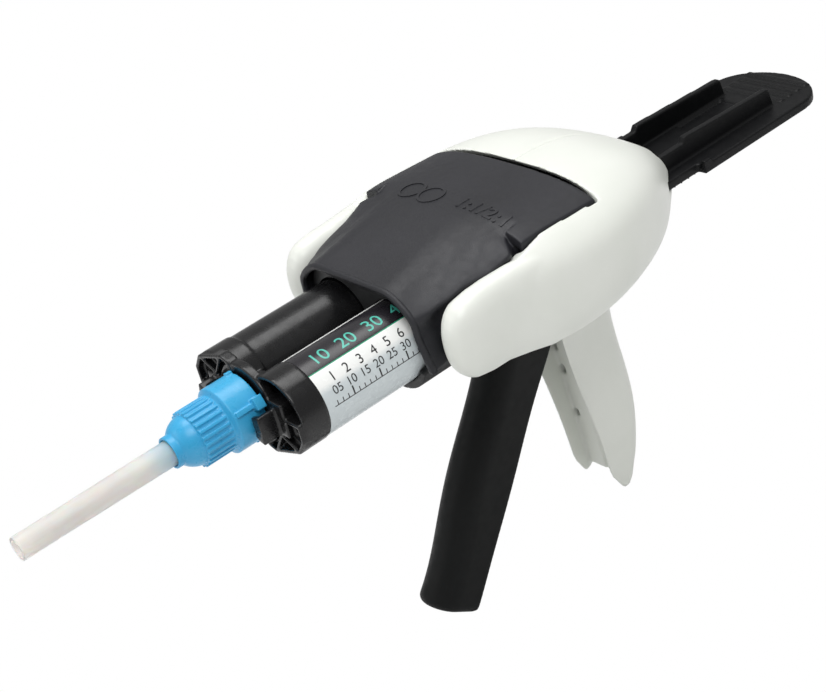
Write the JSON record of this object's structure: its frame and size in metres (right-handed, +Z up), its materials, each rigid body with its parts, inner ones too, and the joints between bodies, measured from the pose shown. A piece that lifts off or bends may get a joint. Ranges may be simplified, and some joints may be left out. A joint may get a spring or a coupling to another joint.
{
  "type": "dental dispensing gun",
  "caption": "Hand-held dental dispensing gun with hinged lid, long trigger, ratchet plunger, two-barrel cartridge and static mixer.",
  "frame": {"origin": "mid plane, halfway between the two barrel axes, at the middle of the cartridge cradle", "axes": "+X forward along the barrels to the mixer tip, +Y to the user's left, +Z up"},
  "size_m": [0.313, 0.0946, 0.1346],
  "materials": {
    "shell_white": "fine satin moulded",
    "cradle_dark": "satin moulded",
    "lid_dark": "matte fine texture",
    "retainer_grey": "satin moulded",
    "frame_grey": "plain moulded",
    "trigger_black": "satin moulded",
    "plunger_black": "satin moulded",
    "pawl_steel": "stamped",
    "pin_steel": "plain turned steel",
    "spring_steel": "plain turned steel",
    "screw_steel": "plain turned steel",
    "disc_black": "satin moulded",
    "piston_white": "waxy moulded",
    "cartridge_black": "semi-gloss moulded",
    "label_paper": "printed film with a plain scale",
    "collar_blue": "semi-gloss moulded",
    "base_blue": "semi-gloss moulded",
    "tube_clear": "milky translucent plastic",
    "helix_white": "plain moulded"
  },
  "bodies": {
    "housing": {"left_shell": "shell_white", "right_shell": "shell_white", "cradle": "cradle_dark", "mechanism_frame": "frame_grey", "shell_screws": "screw_steel", "lid_hinge_pin": "pin_steel", "trigger_pivot_pin": "pin_steel", "trigger_return_spring": "spring_steel", "check_pawl_pin": "pin_steel", "check_pawl_spring": "spring_steel", "cartridge_body": "cartridge_black", "cartridge_label": "label_paper", "mixer_base": "base_blue", "mixer_tube": "tube_clear", "mixing_helix": "helix_white"},
    "lid": {"lid": "lid_dark", "lid_retainer": "retainer_grey"},
    "trigger": {"trigger": "trigger_black", "drive_pawl_pin": "pin_steel", "drive_pawl_spring": "spring_steel"},
    "drive_pawl": {"drive_pawl": "pawl_steel"},
    "check_pawl": {"check_pawl": "pawl_steel"},
    "plunger": {"plunger": "plunger_black", "left_push_disc": "disc_black", "right_push_disc": "disc_black"},
    "left_piston": {"left_piston": "piston_white"},
    "right_piston": {"right_piston": "piston_white"},
    "mixer_collar": {"mixer_collar": "collar_blue"}
  },
  "joints": [
    {"name": "lid_hinge", "type": "hinge", "parent": "housing", "child": "lid", "pos_m": [-0.038, 0, 0.0192], "axis": [0, -1, 0], "range_deg": [0, 62]},
    {"name": "trigger_pivot", "type": "hinge", "parent": "housing", "child": "trigger", "pos_m": [-0.044, 0, -0.017], "axis": [0, 1, 0], "range_deg": [0, 34], "stiffness_Nm_per_rad": 0.5, "springref_deg": -14.32},
    {"name": "drive_pawl_pivot", "type": "hinge", "parent": "trigger", "child": "drive_pawl", "pos_m": [-0.046, 0, -0.011], "axis": [0, 1, 0], "range_deg": [-34, 0]},
    {"name": "check_pawl_pivot", "type": "hinge", "parent": "housing", "child": "check_pawl", "pos_m": [-0.057, 0, -0.0118], "axis": [0, 1, 0], "range_deg": [0, 9], "stiffness_Nm_per_rad": 0.02, "springref_deg": -5.73},
    {"name": "plunger_slide", "type": "slide", "parent": "housing", "child": "plunger", "axis": [1, 0, 0], "range_m": [0, 0.064]},
    {"name": "left_piston_slide", "type": "slide", "parent": "housing", "child": "left_piston", "axis": [1, 0, 0], "range_m": [0, 0.064]},
    {"name": "right_piston_slide", "type": "slide", "parent": "housing", "child": "right_piston", "axis": [1, 0, 0], "range_m": [0, 0.064]},
    {"name": "mixer_collar_turn", "type": "hinge", "parent": "housing", "child": "mixer_collar", "pos_m": [0.075, 0, 0], "axis": [1, 0, 0], "range_deg": [0, 90]}
  ],
  "couplings": [
    {"joint": "drive_pawl_pivot", "follows": "trigger_pivot", "ratio": -1},
    {"joint": "left_piston_slide", "follows": "plunger_slide", "ratio": 1},
    {"joint": "right_piston_slide", "follows": "plunger_slide", "ratio": 1}
  ]
}
